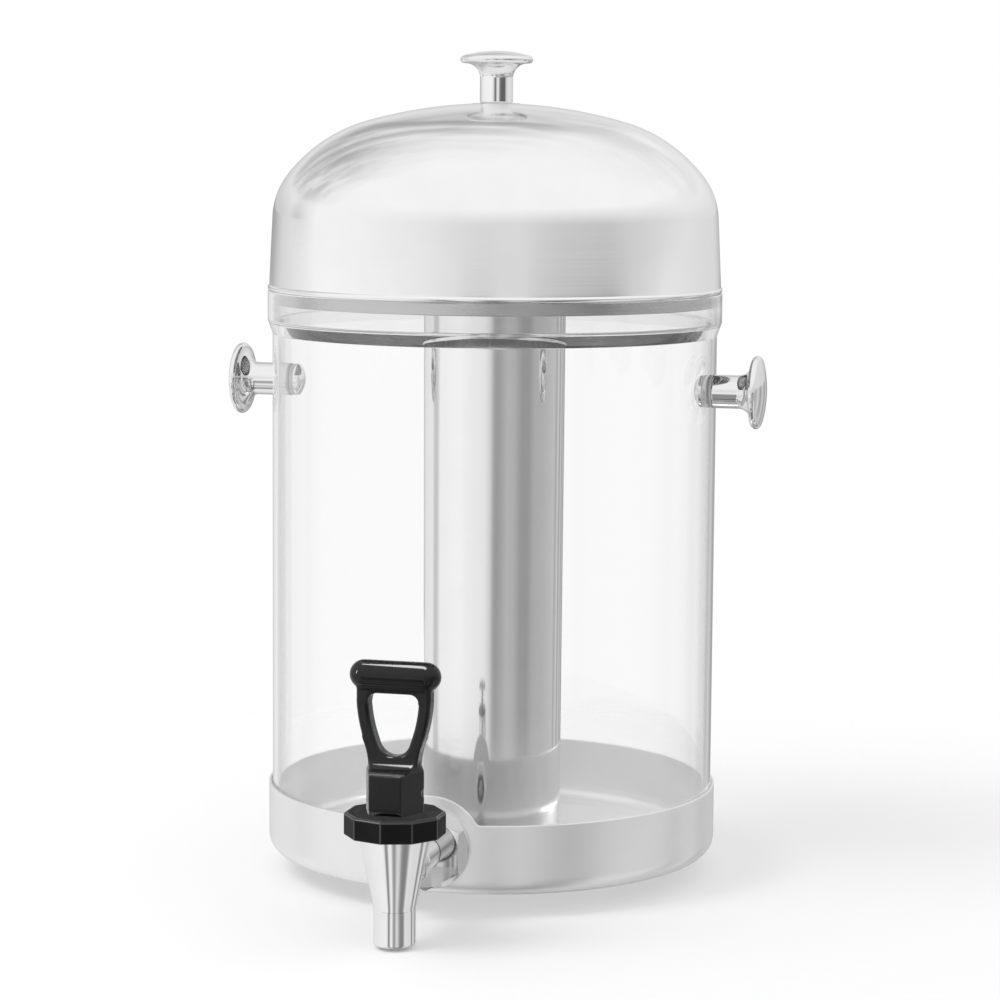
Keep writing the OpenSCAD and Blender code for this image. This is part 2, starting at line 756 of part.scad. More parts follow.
// Pressed bottom of the tube, open upward
module ice_tube_base() {
    base_r = tube_in_r - fit_gap;
    corner = 3;
    color(satin) translate([0, 0, tube_base_z]) rotate_extrude() difference() {
        pan_section(base_r, tube_base_h, corner);
        translate([0, tube_t]) pan_section(base_r - tube_t, tube_base_h, corner - tube_t);
    }
}

// Soft ring that carries the tube and fits round the boss
module ice_tube_foot() {
    color(silicone) ring(boss_r + lift_gap, tube_in_r - fit_gap, floor_top, tube_base_z);
}

// Spun lid: skirt, bead, leaning wall, two shoulders and a crown
module lid_dome() {
    color(steel) difference() {
        union() {
            rotate_extrude() {
                polygon(concat(lid_outline(0), flipped(lid_outline(lid_t))));
                translate([skirt_r - lid_t, container_top - skirt_h]) square([lid_t, skirt_h + lid_t]);
                translate([skirt_r - lid_t, container_top])
                    square([collar_r - bead_r - skirt_r + lid_t, lid_t]);
                translate([collar_r - bead_r, container_top + bead_r]) circle(bead_r);
            }
            bar(knob_pad_r, lid_top - lid_t, lid_top);
        }
        bar(screw_r + hole_gap, lid_washer_top, lid_top + over);
    }
}

// Knob on top of the lid
module lid_knob() {
    color(steel) translate([0, 0, lid_top]) knob();
}

module lid_knob_washer() {
    color(steel) ring(screw_r + hole_gap, lid_washer_r, lid_screw_z, lid_washer_top);
}

module lid_knob_screw() {
    color(steel) translate([0, 0, lid_screw_z]) screw(lid_top - lid_screw_z);
}

base_tray();
container();
left_handle();
right_handle();
handle_seals();
handle_screws();
tap_body();
tap_saddle_washer();
tap_lock_nut();
tap_inner_gasket();
tap_inner_nut();
tap_bonnet();
bonnet_gasket();
tap_spring();
tap_stem();
tap_seat_cup();
tap_pivot_pin();
tap_handle();
ice_tube();
ice_tube_base();
ice_tube_foot();
lid_dome();
lid_knob();
lid_knob_washer();
lid_knob_screw();
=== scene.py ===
"""Looks of the round beverage dispenser: clear tank, steel lid and tube, chrome tap, black lever."""

import math

import bmesh
import bpy
from mathutils import Matrix, Vector


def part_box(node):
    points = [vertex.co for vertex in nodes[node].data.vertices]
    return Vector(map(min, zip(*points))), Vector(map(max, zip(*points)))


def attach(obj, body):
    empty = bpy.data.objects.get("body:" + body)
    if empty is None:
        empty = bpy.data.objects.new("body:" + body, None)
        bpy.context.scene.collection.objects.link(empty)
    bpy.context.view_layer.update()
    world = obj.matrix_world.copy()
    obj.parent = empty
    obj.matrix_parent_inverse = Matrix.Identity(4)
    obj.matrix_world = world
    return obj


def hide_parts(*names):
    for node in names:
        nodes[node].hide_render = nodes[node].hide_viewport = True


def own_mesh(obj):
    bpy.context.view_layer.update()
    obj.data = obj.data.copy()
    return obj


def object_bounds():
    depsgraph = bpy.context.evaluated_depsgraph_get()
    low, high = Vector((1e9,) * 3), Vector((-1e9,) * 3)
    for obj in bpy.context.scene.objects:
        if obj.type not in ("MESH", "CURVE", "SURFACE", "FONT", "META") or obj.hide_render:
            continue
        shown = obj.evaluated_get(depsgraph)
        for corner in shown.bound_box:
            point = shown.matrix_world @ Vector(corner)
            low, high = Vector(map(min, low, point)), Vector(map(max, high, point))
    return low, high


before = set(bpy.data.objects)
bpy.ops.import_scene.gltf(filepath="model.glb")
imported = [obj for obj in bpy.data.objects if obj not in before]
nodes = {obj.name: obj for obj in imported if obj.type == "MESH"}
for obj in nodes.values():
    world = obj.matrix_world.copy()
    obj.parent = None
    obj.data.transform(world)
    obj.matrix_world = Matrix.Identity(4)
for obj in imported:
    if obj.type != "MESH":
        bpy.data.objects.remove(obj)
cad_low, cad_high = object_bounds()

# Sizes in metres, as in the CAD source where the frame's boxes don't give them
MM = 0.001
CONTAINER_R = 110.6 * MM
CONTAINER_WALL = 3 * MM
CONTAINER_FLOOR = 5 * MM
CONTAINER_CORNER = 8.5 * MM
COLLAR_H = 14.5 * MM
COLLAR_SLOPE = 6.7 * MM
BOSS_R = 26 * MM
BOSS_H = 2.6 * MM
TRAY_H = 35 * MM
TRAY_T = 1.2 * MM
TRAY_CORNER = 8.6 * MM
EAR_R = 25 * MM
TUBE_T = 1 * MM
TUBE_BEAD = 1.4 * MM
LID_T = 1 * MM
SKIRT_H = 6.2 * MM
SKIRT_GAP = 0.4 * MM
BEAD_R = 1.5 * MM
LID_WALL_H = 33.5 * MM
LID_DRAFT = 2.8
SHOULDER_R = 37 * MM
SHOULDER_END = 38
CROWN_SHOULDER_R = 76 * MM
CROWN_START = 74
KNOB_PAD_R = 12 * MM
KNOB_NECK_R = 8.2 * MM
KNOB_FLARE_R = 7.2 * MM
KNOB_RIM_R = 1.9 * MM
KNOB_DOME_H = 4.2 * MM
SCREW_R = 3 * MM
HOLE_GAP = 0.3 * MM
TAP_Z = 23.6 * MM
SHANK_R = 8 * MM
SHANK_BORE_R = 4.5 * MM
SHANK_BOSS_R = 10 * MM
SHANK_BOSS_L = 25 * MM
BOSS_THREAD_Z = 17 * MM
THREAD_PITCH = 2.1 * MM
THREAD_DEPTH = 0.9 * MM
CONE_TOP_R = 16.6 * MM
CONE_TOP = 43 * MM
CONE_END = 8.4 * MM
SPOUT_R = 9.6 * MM
SPOUT_BORE_R = 7 * MM
SEAT_HOLE_R = 4.5 * MM
SEAT_Z = 12 * MM
SEAT_T = 3 * MM
CHAMBER_R = 12.4 * MM
BODY_COLLAR_R = 14.9 * MM
SEAT_LIFT = 0.05 * MM
CONE_WALL = 2.4 * MM
SHANK_START = 8 * MM
SHANK_BORE_START = 12 * MM
KNOB_BORE_L = 12 * MM
KNOB_BORE_GAP = 0.1 * MM
WALL_DRILL_L = 30 * MM
TRAY_DRILL_L = 12 * MM
LEVER_VOXEL = 0.4 * MM
LEVER_FOOT_H = 18.7 * MM
LEVER_SHOULDER_H = 6.6 * MM
GRIP_R = 6.75 * MM
LEVER_FOOT_EDGE = 1 * MM
LEVER_NECK_BELOW = 4 * MM
LEVER_NECK_ABOVE = 3 * MM
EAR_BLEND = 2 * MM
PAD_EDGE = 0.6 * MM
BOSS_MARGIN = 0.5 * MM
BORE_MARGIN = 1 * MM
WELD_GAP = 0.002 * MM
FLAT_ANGLE = 0.5
BEVEL_FROM = 25

tray_low, tray_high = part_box("base_tray")
tube_low, tube_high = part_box("ice_tube")
bonnet_low, bonnet_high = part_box("tap_bonnet")
container_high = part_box("container")[1]
TRAY_R = tray_high.x
COLLAR_R = container_high.x
CONTAINER_TOP = container_high.z
CONTAINER_IN_R = CONTAINER_R - CONTAINER_WALL
COLLAR_IN_R = COLLAR_R - CONTAINER_WALL
LEDGE_Z = CONTAINER_TOP - COLLAR_H
TUBE_R = tube_high.x - 2 * TUBE_BEAD + TUBE_T
LID_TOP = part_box("lid_dome")[1].z
TAP_Y = (bonnet_low.y + bonnet_high.y) / 2
UP = Vector((0, 0, 1))


# Camera, fitted to the photograph
VIEW_TURN = 14.7
VIEW_DISTANCE = 1580 * MM
VIEW_HEIGHT = 365 * MM
VIEW_ASIDE = 3.2 * MM
VIEW_PITCH = 6.8
VIEW_ROLL = 0.42
LENS = 114.1


def make_camera():
    """The photograph's camera, turned round the Z axis from the front."""
    data = bpy.data.cameras.new("camera")
    data.lens = LENS
    data.sensor_width = 36
    data.sensor_fit = "HORIZONTAL"
    camera = bpy.data.objects.new("camera", data)
    bpy.context.scene.collection.objects.link(camera)
    turn = Matrix.Rotation(math.radians(VIEW_TURN), 4, "Z")
    place = turn @ Vector((VIEW_ASIDE, -VIEW_DISTANCE, VIEW_HEIGHT))
    pitch = Matrix.Rotation(math.radians(90 - VIEW_PITCH), 4, "X")
    roll = Matrix.Rotation(math.radians(VIEW_ROLL), 4, "Z")
    camera.matrix_world = Matrix.Translation(place) @ turn @ pitch @ roll
    bpy.context.scene.camera = camera


make_camera()


# Sections and turned meshes
def arc(centre, radius, start, stop, steps=12):
    """Points of an arc in a section, between two angles in degrees."""
    angles = [math.radians(start + (stop - start) * i / steps) for i in range(steps + 1)]
    return [(centre[0] + radius * math.cos(a), centre[1] + radius * math.sin(a)) for a in angles]


def fillet(before, corner, after, radius, steps=5):
    """The arc that rounds a corner of a section."""
    p, a, b = Vector(corner), Vector(before), Vector(after)
    u, v = (a - p).normalized(), (b - p).normalized()
    half = u.angle(v) / 2
    centre = p + (u + v).normalized() * radius / math.sin(half)
    start, stop = p + u * radius / math.tan(half) - centre, p + v * radius / math.tan(half) - centre
    return [tuple(centre + start.slerp(stop, i / steps) * radius) for i in range(steps + 1)]


def rounded(corners, closed=False):
    """A section through corners (radius, height, fillet). The ends of an open one stay as they are."""
    points = []
    count = len(corners)
    for i, (r, z, radius) in enumerate(corners):
        inner = closed or 0 < i < count - 1
        if inner and radius > 0:
            before, after = corners[i - 1], corners[(i + 1) % count]
            points += fillet(before[:2], (r, z), after[:2], radius)
        else:
            points.append((r, z))
    return points


def turned(section, closed=False, turns=192, angles=None):
    """A mesh turned about +Z from a section, or from a function that gives the section at an angle."""
    at = angles or [2 * math.pi * i / turns for i in range(turns)]
    sections = [section(a) if callable(section) else section for a in at]
    mesh = bmesh.new()
    rings = []
    for k, (r, z) in enumerate(sections[0]):
        if r < 1e-7:
            rings.append([mesh.verts.new((0, 0, z))])
            continue
        rings.append([
            mesh.verts.new((s[k][0] * math.sin(a), -s[k][0] * math.cos(a), s[k][1]))
            for s, a in zip(sections, at)
        ])
    for low, high in zip(rings, rings[1:] + (rings[:1] if closed else [])):
        for i in range(len(at)):
            j = (i + 1) % len(at)
            quad = [low[i % len(low)], low[j % len(low)], high[j % len(high)], high[i % len(high)]]
            face = list(dict.fromkeys(quad))
            if len(face) > 2:
                mesh.faces.new(face)
    bmesh.ops.recalc_face_normals(mesh, faces=mesh.faces)
    return mesh


def joined(*meshes):
    """Several meshes as one."""
    whole = bmesh.new()
    for mesh in meshes:
        data = bpy.data.meshes.new("part")
        mesh.to_mesh(data)
        mesh.free()
        whole.from_mesh(data)
        bpy.data.meshes.remove(data)
    return whole


def piece(name, mesh, material, body, slot, *stands_for, sharp=40, even=True):
    """A new object from a mesh, riding on a body in place of CAD nodes."""
    data = bpy.data.meshes.new(name)
    mesh.to_mesh(data)
    mesh.free()
    for polygon in data.polygons:
        polygon.use_smooth = True
    data.set_sharp_from_angle(angle=math.radians(sharp))
    data.materials.append(material)
    obj = bpy.data.objects.new(name, data)
    bpy.context.scene.collection.objects.link(obj)
    if even:
        obj.modifiers.new("even_normals", "WEIGHTED_NORMAL").keep_sharp = True
    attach(obj, body)
    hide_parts(*stands_for)
    return obj


def second_material(obj, material, chosen):
    """Gives a second material to the faces that a test of centre and normal chooses."""
    obj.data.materials.append(material)
    for polygon in obj.data.polygons:
        polygon.material_index = int(chosen(polygon.center, polygon.normal))


def drilled(obj, *holes):
    """Cuts round holes, given as (matrix, radius, length), out of an object's mesh."""
    for matrix, radius, length in holes:
        cutter_mesh = bmesh.new()
        bmesh.ops.create_cone(cutter_mesh, cap_ends=True, segments=64, radius1=radius, radius2=radius,
                              depth=length, matrix=matrix)
        data = bpy.data.meshes.new("cutter")
        cutter_mesh.to_mesh(data)
        cutter_mesh.free()
        cutter = bpy.data.objects.new("cutter", data)
        bpy.context.scene.collection.objects.link(cutter)
        cut = obj.modifiers.new("hole", "BOOLEAN")
        cut.object = cutter
        cut.operation = "DIFFERENCE"
        cut.solver = "EXACT"
        obj.modifiers.move(len(obj.modifiers) - 1, 0)
        even = obj.modifiers[1]
        even.show_viewport = False
        bpy.context.view_layer.update()
        drilled_obj = obj.evaluated_get(bpy.context.evaluated_depsgraph_get())
        solid = bpy.data.meshes.new_from_object(drilled_obj)
        obj.modifiers.remove(cut)
        even.show_viewport = True
        old, obj.data = obj.data, solid
        bpy.data.meshes.remove(old)
        bpy.data.objects.remove(cutter)
    return obj


# Materials
class Shader:
    """A material's node tree with short calls to add and link nodes."""

    def __init__(self, name):
        self.material = bpy.data.materials.new(name)
        self.material.use_nodes = True
        self.tree = self.material.node_tree
        self.tree.nodes.clear()
        self.output = self.add("ShaderNodeOutputMaterial")

    def add(self, kind, settings=None, **inputs):
        node = self.tree.nodes.new(kind)
        for key, value in (settings or {}).items():
            setattr(node, key, value)
        for key, value in inputs.items():
            self.put(node, key.replace("_", " "), value)
        return node

    def put(self, node, key, value):
        socket = node.inputs[int(key)] if key.isdigit() else node.inputs[key]
        if isinstance(value, bpy.types.NodeSocket):
            self.tree.links.new(value, socket)
        else:
            socket.default_value = value

    def math(self, operation, *values):
        node = self.add("ShaderNodeMath", {"operation": operation})
        for i, value in enumerate(values):
            self.put(node, str(i), value)
        return node.outputs[0]

    def span(self, value, low, high, to_low, to_high):
        node = self.add("ShaderNodeMapRange", Value=value, From_Min=low, From_Max=high,
                        To_Min=to_low, To_Max=to_high)
        return node.outputs[0]

    def noise(self, vector, scale, detail=2.0, roughness=0.5):
        node = self.add("ShaderNodeTexNoise", Vector=vector, Scale=scale, Detail=detail,
                        Roughness=roughness)
        return node.outputs[0]

    def ramp(self, value, stops):
        node = self.add("ShaderNodeValToRGB", Fac=value)
        elements = node.color_ramp.elements
        while len(elements) < len(stops):
            elements.new(1.0)
        for element, (at, level) in zip(elements, sorted(stops)):
            element.position = at
            element.color = (level, level, level, 1)
        return node.outputs[0]

    def place(self):
        """The surface point in metres, in the object's own frame."""
        return self.add("ShaderNodeTexCoord").outputs["Object"]

    def scaled(self, vector, scale):
        node = self.add("ShaderNodeVectorMath", {"operation": "MULTIPLY"})
        self.put(node, "0", vector)
        self.put(node, "1", scale)
        return node.outputs[0]

    def bump(self, height, strength, distance):
        node = self.add("ShaderNodeBump", Height=height, Strength=strength, Distance=distance)
        return node.outputs[0]

    def grey(self, tone):
        return self.add("ShaderNodeCombineColor", Red=tone, Green=tone, Blue=tone).outputs[0]

    def across(self, a, b):
        """The distance from an axis, from the two coordinates across it."""
        squares = self.math("ADD", self.math("MULTIPLY", a, a), self.math("MULTIPLY", b, b))
        return self.math("SQRT", squares)

    def mix(self, share, first, second):
        node = self.add("ShaderNodeMixShader")
        for i, value in enumerate((share, first, second)):
            self.put(node, str(i), value)
        return node.outputs[0]

    def done(self, shader):
        self.tree.links.new(shader, self.output.inputs["Surface"])
        return self.material


def turning_lines(s, fine=1400.0, along=9.0):
    """Fine lines round Z, as polishing or brushing on a lathe leaves them, from 0 to 1."""
    x, y, z = s.add("ShaderNodeSeparateXYZ", Vector=s.place()).outputs
    radius = s.across(x, y)
    rise = s.math("SUBTRACT", s.math("MULTIPLY", z, fine), s.math("MULTIPLY", radius, fine * 1.3))
    vector = s.add("ShaderNodeCombineXYZ", X=s.math("MULTIPLY", x, along),
                   Y=s.math("MULTIPLY", y, along), Z=rise)
    return s.noise(vector.outputs[0], scale=1.0, detail=3.0, roughness=0.6)


def metal(name, grey, low, high, lines, bump, anisotropy=0.0, metallic=1.0):
    """Steel or chrome, rough between low and high by fine turning lines and soft handling marks."""
    s = Shader(name)
    grain = turning_lines(s)
    marks = s.noise(s.place(), scale=38.0, detail=4.0, roughness=0.62)
    share = s.math("ADD", s.math("MULTIPLY", grain, lines), s.math("MULTIPLY", marks, 1.0 - lines))
    rough = s.span(share, 0.3, 0.75, low, high)
    tone = s.span(marks, 0.3, 0.7, 0.965 * grey, grey)
    shader = s.add("ShaderNodeBsdfPrincipled", Base_Color=s.grey(tone), Roughness=rough,
                   Normal=s.bump(grain, bump, 0.02 * MM))
    shader.inputs["Metallic"].default_value = metallic
    if anisotropy:
        shader.inputs["Anisotropic"].default_value = anisotropy
        shader.inputs["Anisotropic Rotation"].default_value = 0.25
        tangent = s.add("ShaderNodeTangent", {"direction_type": "RADIAL", "axis": "Z"})
        s.put(shader, "Tangent", tangent.outputs[0])
    return s.done(shader.outputs[0])


def thread_metal():
    """Chrome on the shank's thread, duller in the grooves and darker there as painted shade."""
    s = Shader("thread_chrome")
    x, _, z = s.add("ShaderNodeSeparateXYZ", Vector=s.place()).outputs
    radius = s.across(x, s.math("SUBTRACT", z, TAP_Z))
    on_boss = s.math("GREATER_THAN", radius, SHANK_R + BOSS_MARGIN)
    radius = s.math("SUBTRACT", radius, s.math("MULTIPLY", on_boss, SHANK_BOSS_R - SHANK_R))
    # Painted shade: the tone runs from bright at the crest to dark at the bottom of the grooves.
    tone = s.span(radius, SHANK_R - THREAD_DEPTH, SHANK_R, 0.14, 0.86)
    rough = s.span(radius, SHANK_R - THREAD_DEPTH, SHANK_R, 0.4, 0.06)
    shader = s.add("ShaderNodeBsdfPrincipled", Base_Color=s.grey(tone), Roughness=rough)
    shader.inputs["Metallic"].default_value = 1.0
    return s.done(shader.outputs[0])


def clear_plastic(name, tint, ripple, wave):
    """Clear moulded plastic with faint marks and waves. Lamp light and mirrored rays pass through."""
    s = Shader(name)
    marks = s.noise(s.place(), scale=22.0, detail=5.0, roughness=0.7)
    rough = s.span(marks, 0.45, 0.8, 0.0, 0.035)
    waves = s.noise(s.scaled(s.place(), ripple), scale=1.0, detail=1.0)
    shader = s.add("ShaderNodeBsdfPrincipled", Roughness=rough, Normal=s.bump(waves, wave, 0.4 * MM))
    shader.inputs["Base Color"].default_value = (tint, tint, tint, 1)
    shader.inputs["Transmission Weight"].default_value = 1.0
    shader.inputs["IOR"].default_value = 1.49
    path = s.add("ShaderNodeLightPath")
    through = s.add("ShaderNodeBsdfTransparent")
    through.inputs["Color"].default_value = (0.98, 0.98, 0.98, 1)
    surface = shader.outputs[0]
    for ray in ("Is Shadow Ray", "Is Reflection Ray"):
        surface = s.mix(path.outputs[ray], surface, through.outputs[0])
    return s.done(surface)


def black_plastic(name, low, high, gloss, tone_low=0.004, tone_high=0.009):
    """Black moulding with a faint orange peel, rubbed a little duller in places."""
    s = Shader(name)
    peel = s.noise(s.place(), scale=900.0)
    rub = s.noise(s.place(), scale=70.0, detail=4.0, roughness=0.65)
    tone = s.span(rub, 0.3, 0.75, tone_low, tone_high)
    blue = s.math("MULTIPLY", tone, 1.06)
    colour = s.add("ShaderNodeCombineColor", Red=tone, Green=tone, Blue=blue)
    shader = s.add("ShaderNodeBsdfPrincipled", Base_Color=colour.outputs[0],
                   Roughness=s.span(rub, 0.3, 0.75, low, high), Normal=s.bump(peel, 0.1, 0.04 * MM))
    shader.inputs["IOR"].default_value = 1.5
    shader.inputs["Specular IOR Level"].default_value = gloss
    return s.done(shader.outputs[0])


def soft_rubber(name, colour, rough):
    """Silicone or rubber: matte, with a fine moulded grain and dusty patches."""
    s = Shader(name)
    grain = s.noise(s.place(), scale=1300.0)
    dust = s.span(s.noise(s.place(), scale=90.0, detail=4.0), 0.35, 0.7, 0.85, 1.1)
    red, green, blue = [s.math("MULTIPLY", dust, c) for c in colour]
    tone = s.add("ShaderNodeCombineColor", Red=red, Green=green, Blue=blue)
    shader = s.add("ShaderNodeBsdfPrincipled", Base_Color=tone.outputs[0],
                   Roughness=s.span(dust, 0.85, 1.1, rough - 0.08, rough + 0.1),
                   Normal=s.bump(grain, 0.2, 0.06 * MM))
    return s.done(shader.outputs[0])


POLISHED = metal("polished_steel", grey=0.91, low=0.06, high=0.13, lines=0.55, bump=0.02,
                 anisotropy=0.4)
# Painted shade: the lid's underside is a darker copy of the polished steel.
INNER_STEEL = metal("inner_steel", grey=0.6, low=0.2, high=0.32, lines=0.6, bump=0.04)
TUBE_STEEL = metal("tube_steel", grey=0.89, low=0.05, high=0.09, lines=0.5, bump=0.02, anisotropy=0.45)
CHROME = metal("chrome", grey=0.86, low=0.015, high=0.05, lines=0.35, bump=0.01)
SATIN = metal("satin_steel", grey=0.88, low=0.28, high=0.36, lines=0.3, bump=0.012, anisotropy=0.5,
              metallic=0.7)
# Painted shade: the lock nut's chrome is a darker copy of the chrome elsewhere.
NUT_CHROME = metal("nut_chrome", grey=0.74, low=0.03, high=0.08, lines=0.35, bump=0.01)
THREAD_CHROME = thread_metal()
# Painted shade: the pivot pin is near-black steel, so its ends in the lever's sides show dark instead
# of glinting.
PIN_STEEL = metal("pin_steel", grey=0.1, low=0.3, high=0.45, lines=0.3, bump=0.02)
SPRING = metal("spring_steel", grey=0.62, low=0.2, high=0.34, lines=0.5, bump=0.1)
CLEAR = clear_plastic("clear_plastic", tint=1.0, ripple=(14.0, 14.0, 5.0), wave=0.05)
# Painted shade: the collar's copy of the clear plastic is tinted grey for the thick collar's darker
# reflections.
CLEAR_COLLAR = clear_plastic("clear_collar", tint=0.89, ripple=(16.0, 16.0, 130.0), wave=0.25)
BLACK = black_plastic("black_plastic", low=0.06, high=0.15, gloss=0.3)
MATTE_BLACK = black_plastic("matte_black_plastic", low=0.48, high=0.6, gloss=0.1)
# Painted highlight: a lighter, glossier black for the bonnet's rounded edges, standing in for lit edge
# lines.
EDGE_HIGHLIGHT_BLACK = black_plastic("edge_highlight_black_plastic", low=0.25, high=0.35, gloss=0.5, tone_low=0.02,
                           tone_high=0.045)
SILICONE = soft_rubber("silicone", colour=(0.72, 0.72, 0.69), rough=0.5)
GREY_RUBBER = soft_rubber("grey_rubber", colour=(0.5, 0.5, 0.5), rough=0.45)


# Container, tray and ice tube
def make_container():
    """The clear tank with its flared collar, drilled for the tap and both handles."""
    foot = tray_low.z + TRAY_T + SEAT_LIFT
    floor = tray_low.z + TRAY_T + CONTAINER_FLOOR
    slope = LEDGE_Z - COLLAR_SLOPE
    edge = 0.7 * MM
    section = rounded([
        (0, foot, 0),
        (CONTAINER_R, foot, CONTAINER_CORNER),
        (CONTAINER_R, slope, 2 * edge),
        (COLLAR_R, LEDGE_Z, 2 * edge),
        (COLLAR_R, CONTAINER_TOP, edge),
        (COLLAR_IN_R, CONTAINER_TOP, edge),
        (COLLAR_IN_R, LEDGE_Z, edge),
        (CONTAINER_IN_R, LEDGE_Z, edge),
        (CONTAINER_IN_R, floor, CONTAINER_CORNER - CONTAINER_WALL),
        (BOSS_R, floor, edge),
        (BOSS_R, floor + BOSS_H, edge),
        (0, floor + BOSS_H, 0),
    ])
    obj = piece("clear_container", turned(section, turns=256), CLEAR, "tank", "clear_plastic",
                "container")
    # The collar takes the grey-tinted copy, whose grey is painted shade.
    second_material(obj, CLEAR_COLLAR, lambda centre, _: centre.z > slope)
    tap = Matrix.Translation((0, -CONTAINER_R, TAP_Z)) @ Matrix.Rotation(math.pi / 2, 4, "X")
    holes = [(tap, SHANK_R + HOLE_GAP, WALL_DRILL_L)]
    knob_low, knob_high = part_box("right_handle")
    for side in (-1, 1):
        place = Matrix.Translation((side * CONTAINER_R, 0, (knob_low.z + knob_high.z) / 2))
        across = place @ Matrix.Rotation(math.pi / 2, 4, "Y")
        holes.append((across, SCREW_R + HOLE_GAP, WALL_DRILL_L))
    drilled(obj, *holes)


def make_tray():
    """The pan's rim follows the round ear, which runs into it with a small radius."""
    half = TRAY_T / 2
    low_r, in_r = TRAY_R - TRAY_CORNER, TRAY_R - TRAY_T
    in_corner = TRAY_CORNER - TRAY_T

    def rim(angle):
        x = TRAY_R * math.sin(angle)
        if abs(x) >= EAR_R or math.cos(angle) < 0:
            return TRAY_H
        ear = TAP_Z + math.sqrt(EAR_R * EAR_R - x * x)
        near = max(EAR_BLEND - abs(ear - TRAY_H), 0) / EAR_BLEND
        return max(ear, TRAY_H) + near * near * EAR_BLEND / 4

    def section(angle):
        top = rim(angle) - half
        levels = [TRAY_CORNER + (top - TRAY_CORNER) * i / 8 for i in range(1, 8)]
        return (
            [(0, 0), (low_r * 0.5, 0)]
            + arc((low_r, TRAY_CORNER), TRAY_CORNER, -90, 0)
            + [(TRAY_R, z) for z in levels]
            + arc((TRAY_R - half, top), half, 0, 180, 8)
            + [(in_r, z) for z in reversed(levels)]
            + arc((low_r, TRAY_CORNER), in_corner, 0, -90)
            + [(low_r * 0.5, TRAY_T), (0, TRAY_T)]
        )

    reach = math.asin(1.15 * EAR_R / TRAY_R)
    ear_steps, rim_steps = 150, 220
    ear_angles = [-reach + 2 * reach * i / ear_steps for i in range(ear_steps)]
    rim_angles = [reach + (2 * math.pi - 2 * reach) * i / rim_steps for i in range(rim_steps)]
    obj = piece("steel_tray", turned(section, angles=ear_angles + rim_angles), SATIN, "tank",
                "satin_steel", "base_tray")
    tap = Matrix.Translation((0, -TRAY_R, TAP_Z)) @ Matrix.Rotation(math.pi / 2, 4, "X")
    return drilled(obj, (tap, SHANK_R + HOLE_GAP, TRAY_DRILL_L))


def make_tube():
    """The ice tube with its rolled bead, satin inside."""
    in_r = TUBE_R - TUBE_T
    bead_z = tube_high.z - TUBE_BEAD
    bead = arc((in_r + TUBE_BEAD, bead_z), TUBE_BEAD, -74, 180, 20)
    section = [(TUBE_R, tube_low.z)] + bead + [(in_r, tube_low.z)]
    tube = piece("steel_tube", turned(section, closed=True, turns=256), TUBE_STEEL, "ice_tube",
                 "polished_steel", "ice_tube")
    second_material(tube, SATIN, lambda centre, normal: normal.xy.dot(centre.xy) < 0)


# Lid
def lid_outline(depth):
    """The lid from its bead to the knob's pad, set in by a depth."""
    def normal(angle):
        return Vector((math.cos(math.radians(angle)), math.sin(math.radians(angle))))

    start = Vector((COLLAR_R - BEAD_R / 2, CONTAINER_TOP + 2 * BEAD_R))
    lean = math.tan(math.radians(LID_DRAFT))
    wall_end = start + Vector((-LID_WALL_H * lean, LID_WALL_H))
    shoulder = wall_end - SHOULDER_R * normal(LID_DRAFT)
    stop = shoulder + SHOULDER_R * normal(SHOULDER_END)
    upper = stop - CROWN_SHOULDER_R * normal(SHOULDER_END)
    last = upper + CROWN_SHOULDER_R * normal(CROWN_START)
    crown_r = last.x / math.cos(math.radians(CROWN_START))
    crown = (0, last.y - crown_r * math.sin(math.radians(CROWN_START)))
    pad_angle = math.degrees(math.acos(KNOB_PAD_R / crown_r))
    inset = -depth * normal(LID_DRAFT)
    wall = [tuple(start.lerp(wall_end, i / 12) + inset) for i in range(12)]
    return (wall + arc(shoulder, SHOULDER_R - depth, LID_DRAFT, SHOULDER_END, 24)[:-1]
            + arc(upper, CROWN_SHOULDER_R - depth, SHOULDER_END, CROWN_START, 30)[:-1]
            + arc(crown, crown_r - depth, CROWN_START, pad_angle, 30))


def make_lid():
    """The domed lid as one sheet with its bead and skirt; its underside is duller and has painted
    shade.
    """
    skirt_r = COLLAR_IN_R - SKIRT_GAP
    skirt_z = CONTAINER_TOP - SKIRT_H
    hole_r = SCREW_R + HOLE_GAP
    outer, inner = lid_outline(0), lid_outline(LID_T)
    bead = arc((COLLAR_R - BEAD_R, CONTAINER_TOP + BEAD_R), BEAD_R, -90, 60, 20)
    pad = [(KNOB_PAD_R - PAD_EDGE, LID_TOP), (hole_r, LID_TOP), (hole_r, LID_TOP - LID_T)]
    skirt = rounded([
        (skirt_r - LID_T, CONTAINER_TOP + LID_T, 0),
        (skirt_r - LID_T, skirt_z, 0.4 * MM),
        (skirt_r, skirt_z, 0.4 * MM),
        (skirt_r, CONTAINER_TOP + SEAT_LIFT, 0.3 * MM),
        (COLLAR_R - BEAD_R, CONTAINER_TOP, 0),
    ])
    section = bead[1:] + outer + pad + inner[::-1] + skirt
    lid = piece("steel_lid", turned(section, closed=True, turns=256), POLISHED, "lid", "polished_steel",
                "lid_dome", sharp=50)

    def under(centre, normal):
        outward = centre - CONTAINER_TOP * UP
        return centre.z < CONTAINER_TOP + SEAT_LIFT or normal.dot(outward) < 0

    second_material(lid, INNER_STEEL, under)


